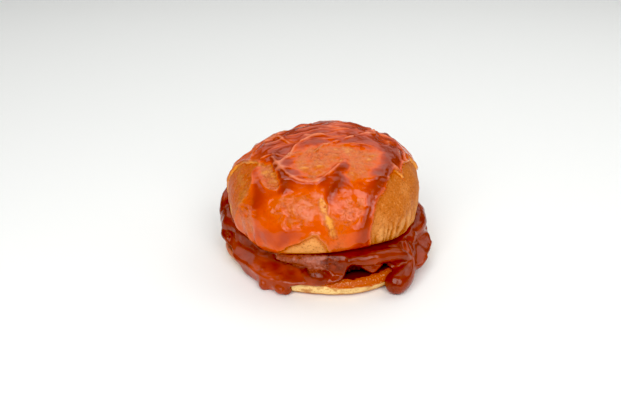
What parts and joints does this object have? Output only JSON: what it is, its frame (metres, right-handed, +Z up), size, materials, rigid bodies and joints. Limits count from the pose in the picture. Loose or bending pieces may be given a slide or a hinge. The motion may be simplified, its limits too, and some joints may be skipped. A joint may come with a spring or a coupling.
{
  "type": "wet burger",
  "caption": "Steamed bun sandwich with a thin beef patty, soaked and draped in thick tomato sauce that runs down the dome and hangs in lobes and drips.",
  "frame": {"origin": "middle of the heel's flat underside, on the surface that the burger stands on", "axes": "+Z up through the burger, -Y towards the front that the picture shows, +X to the right seen from there"},
  "size_m": [0.1013, 0.1041, 0.0556],
  "materials": {
    "bread_crust": "soft steamed crust soaked orange and brown, wet with tomato sauce",
    "tomato_sauce": "thick glossy tomato sauce with fine pulp",
    "beef": "dark browned minced beef, moist",
    "bread_crumb": "pale cream bread, matt, stained orange on top"
  },
  "bodies": {
    "root": {"bun_crown": "bread_crust", "sauce_layer": "tomato_sauce", "patty": "beef", "bun_heel": "bread_crumb"}
  },
  "joints": []
}
